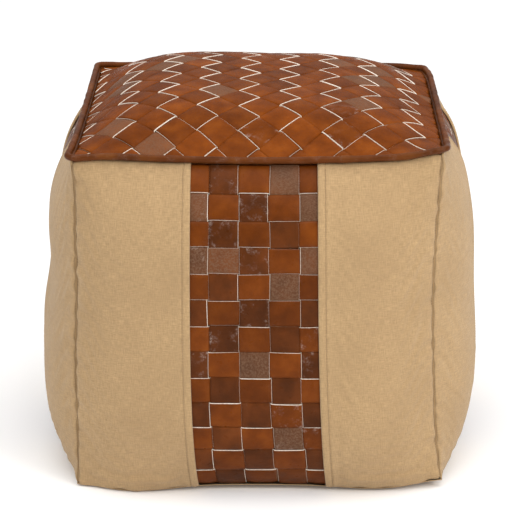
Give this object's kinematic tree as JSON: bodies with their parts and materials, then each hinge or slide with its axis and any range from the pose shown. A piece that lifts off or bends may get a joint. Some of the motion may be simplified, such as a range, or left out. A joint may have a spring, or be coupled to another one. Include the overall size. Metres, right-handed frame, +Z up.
{
  "type": "leather and canvas pouf",
  "caption": "Square stuffed pouf with canvas sides, a woven leather band down each side, a diagonally woven leather top, piped seam and a zipped canvas base.",
  "frame": {"origin": "middle of the base, on the floor", "axes": "+Z up, -Y towards the front face, +X towards its right-hand side; the zip in the base runs along X"},
  "size_m": [0.541, 0.541, 0.4712],
  "materials": {
    "canvas": "matte",
    "warp_leather": "satin",
    "weft_leather": "satin",
    "top_leather": "satin",
    "piping_leather": "satin",
    "cord_cotton": "matte",
    "liner_cotton": "matte",
    "filling": "matte",
    "zip_tape": "matte",
    "brass": "satin"
  },
  "bodies": {
    "pouf": {"filling": "filling", "inner_liner": "liner_cotton", "base_front": "canvas", "base_back": "canvas", "top_backing": "liner_cotton", "top_strips_rising": "top_leather", "top_strips_falling": "top_leather", "piping": "piping_leather", "piping_cord": "cord_cotton", "zip_tape_front": "zip_tape", "zip_tape_back": "zip_tape", "zip_teeth_front": "brass", "zip_teeth_back": "brass", "zip_top_stop_front": "brass", "zip_top_stop_back": "brass", "zip_bottom_stop": "brass", "front_canvas_left": "canvas", "front_canvas_right": "canvas", "front_band_backing": "liner_cotton", "front_weft": "weft_leather", "front_warp_1": "warp_leather", "front_warp_2": "warp_leather", "front_warp_3": "warp_leather", "front_warp_4": "warp_leather", "front_warp_5": "warp_leather", "right_canvas_left": "canvas", "right_canvas_right": "canvas", "right_band_backing": "liner_cotton", "right_weft": "weft_leather", "right_warp_1": "warp_leather", "right_warp_2": "warp_leather", "right_warp_3": "warp_leather", "right_warp_4": "warp_leather", "right_warp_5": "warp_leather", "back_canvas_left": "canvas", "back_canvas_right": "canvas", "back_band_backing": "liner_cotton", "back_weft": "weft_leather", "back_warp_1": "warp_leather", "back_warp_2": "warp_leather", "back_warp_3": "warp_leather", "back_warp_4": "warp_leather", "back_warp_5": "warp_leather", "left_canvas_left": "canvas", "left_canvas_right": "canvas", "left_band_backing": "liner_cotton", "left_weft": "weft_leather", "left_warp_1": "warp_leather", "left_warp_2": "warp_leather", "left_warp_3": "warp_leather", "left_warp_4": "warp_leather", "left_warp_5": "warp_leather"},
    "slider": {"zip_slider": "brass"},
    "tab": {"pull_tab": "brass"}
  },
  "joints": [
    {"name": "zip_slide", "type": "slide", "parent": "pouf", "child": "slider", "axis": [-1, 0, 0], "range_m": [0, 0.31]},
    {"name": "tab_hinge", "type": "hinge", "parent": "slider", "child": "tab", "pos_m": [0.156, 0, 0.0058], "axis": [0, -1, 0], "range_deg": [0, 178]}
  ]
}
